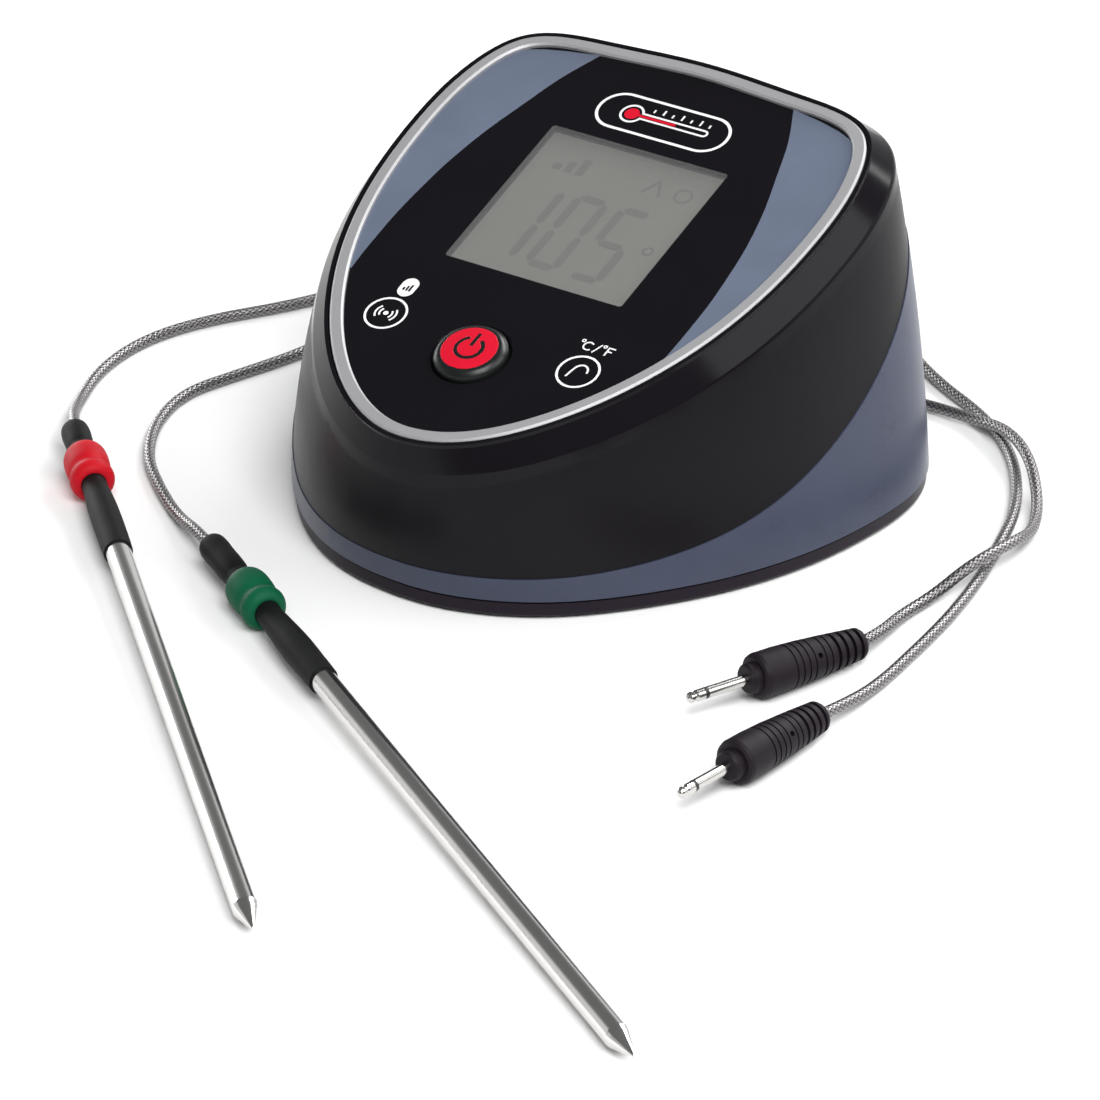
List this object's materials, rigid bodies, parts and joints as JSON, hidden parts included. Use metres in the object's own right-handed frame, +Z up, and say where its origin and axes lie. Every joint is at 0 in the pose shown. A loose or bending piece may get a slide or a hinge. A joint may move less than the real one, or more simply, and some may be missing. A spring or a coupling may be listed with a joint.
{
  "type": "two-probe grill thermometer",
  "caption": "Desk unit with a tilted display face, power button and battery door, plus two steel needle probes on braided leads with jack plugs and coloured rings.",
  "frame": {"origin": "centre of the desk unit's underside, on the table, at the rubber pad's lower face", "axes": "+Z up, -Y towards the low front edge with the power button, +X to the right seen from the front"},
  "size_m": [0.2643, 0.3084, 0.0805],
  "materials": {
    "black_gloss": "gloss",
    "slate_gloss": "satin gloss",
    "foot_plastic": "matt",
    "satin_metal": "fine brushed satin",
    "window": "clear",
    "lcd_glass": "grey-green liquid-crystal glass",
    "light_guide": "milky",
    "holder_plastic": "matt",
    "board": "solder mask",
    "chip": "matt",
    "dark_plastic": "matt",
    "dark_rubber": "matt",
    "key_foam": "matt",
    "steel": "polished",
    "nickel": "polished nickel",
    "cell_jacket": "printed jacket",
    "lead_wire": "gloss",
    "sleeve_black": "satin",
    "red_silicone": "satin",
    "green_silicone": "satin",
    "braid": "woven braid",
    "plug_black": "matt",
    "insulator": "matt",
    "sensor_bead": "matt"
  },
  "bodies": {
    "base_unit": {"lower_shell": "slate_gloss", "upper_shell": "black_gloss", "base_plate": "foot_plastic", "non_slip_pad": "dark_rubber", "rear_feet": "dark_rubber", "base_screws": "steel", "battery_cell_1": "cell_jacket", "battery_cell_2": "cell_jacket", "battery_springs": "nickel", "battery_contact": "nickel", "trim_ring": "satin_metal", "fascia_panel": "black_gloss", "window_lens": "window", "lcd_panel": "lcd_glass", "backlight_panel": "light_guide", "lcd_holder": "holder_plastic", "contact_strip": "key_foam", "main_board": "board", "board_screws": "steel", "board_chips": "chip", "radio_module": "satin_metal", "buzzer": "chip", "board_plug": "holder_plastic", "touch_key_pads": "key_foam", "button_switch": "dark_plastic", "jack_contacts": "nickel", "jack_board": "board", "inner_leads": "lead_wire", "left_probe_jack": "dark_plastic", "right_probe_jack": "dark_plastic"},
    "battery_door": {"battery_door": "foot_plastic"},
    "power_button": {"power_button": "dark_rubber", "switch_plunger": "dark_plastic"},
    "red_probe": {"red_needle": "steel", "red_sensor": "sensor_bead", "red_ferrule": "steel", "red_sleeve": "sleeve_black", "red_cable_probe_end": "braid", "red_coil": "braid", "red_cable_plug_end": "braid", "red_plug_grip": "plug_black", "red_plug_barrel": "nickel", "red_plug_insulator": "insulator", "red_plug_tip": "nickel"},
    "red_ring": {"red_ring": "red_silicone"},
    "green_probe": {"green_needle": "steel", "green_sensor": "sensor_bead", "green_ferrule": "steel", "green_sleeve": "sleeve_black", "green_cable_probe_end": "braid", "green_coil": "braid", "green_cable_plug_end": "braid", "green_plug_grip": "plug_black", "green_plug_barrel": "nickel", "green_plug_insulator": "insulator", "green_plug_tip": "nickel"},
    "green_ring": {"green_ring": "green_silicone"}
  },
  "joints": [
    {"name": "button_press", "type": "slide", "parent": "base_unit", "child": "power_button", "axis": [0, 0.3256, -0.9455], "range_m": [0, 0.0008], "stiffness_N_per_m": 600, "springref_m": -0.0005},
    {"name": "door_hinge", "type": "hinge", "parent": "base_unit", "child": "battery_door", "pos_m": [0, 0.00992, 0.00103], "axis": [-1, 0, 0], "range_deg": [0, 60]},
    {"name": "red_probe_lift", "type": "slide", "parent": "base_unit", "child": "red_probe", "axis": [0, 0, 1], "range_m": [0, 0.12]},
    {"name": "green_probe_lift", "type": "slide", "parent": "red_probe", "child": "green_probe", "axis": [0, 0, 1], "range_m": [0, 0.12]},
    {"name": "red_ring_slide", "type": "slide", "parent": "red_probe", "child": "red_ring", "axis": [0.7301, -0.6832, -0.0108], "range_m": [-0.003, 0.003]},
    {"name": "green_ring_slide", "type": "slide", "parent": "green_probe", "child": "green_ring", "axis": [0.848, -0.5299, -0.0108], "range_m": [-0.003, 0.003]}
  ]
}
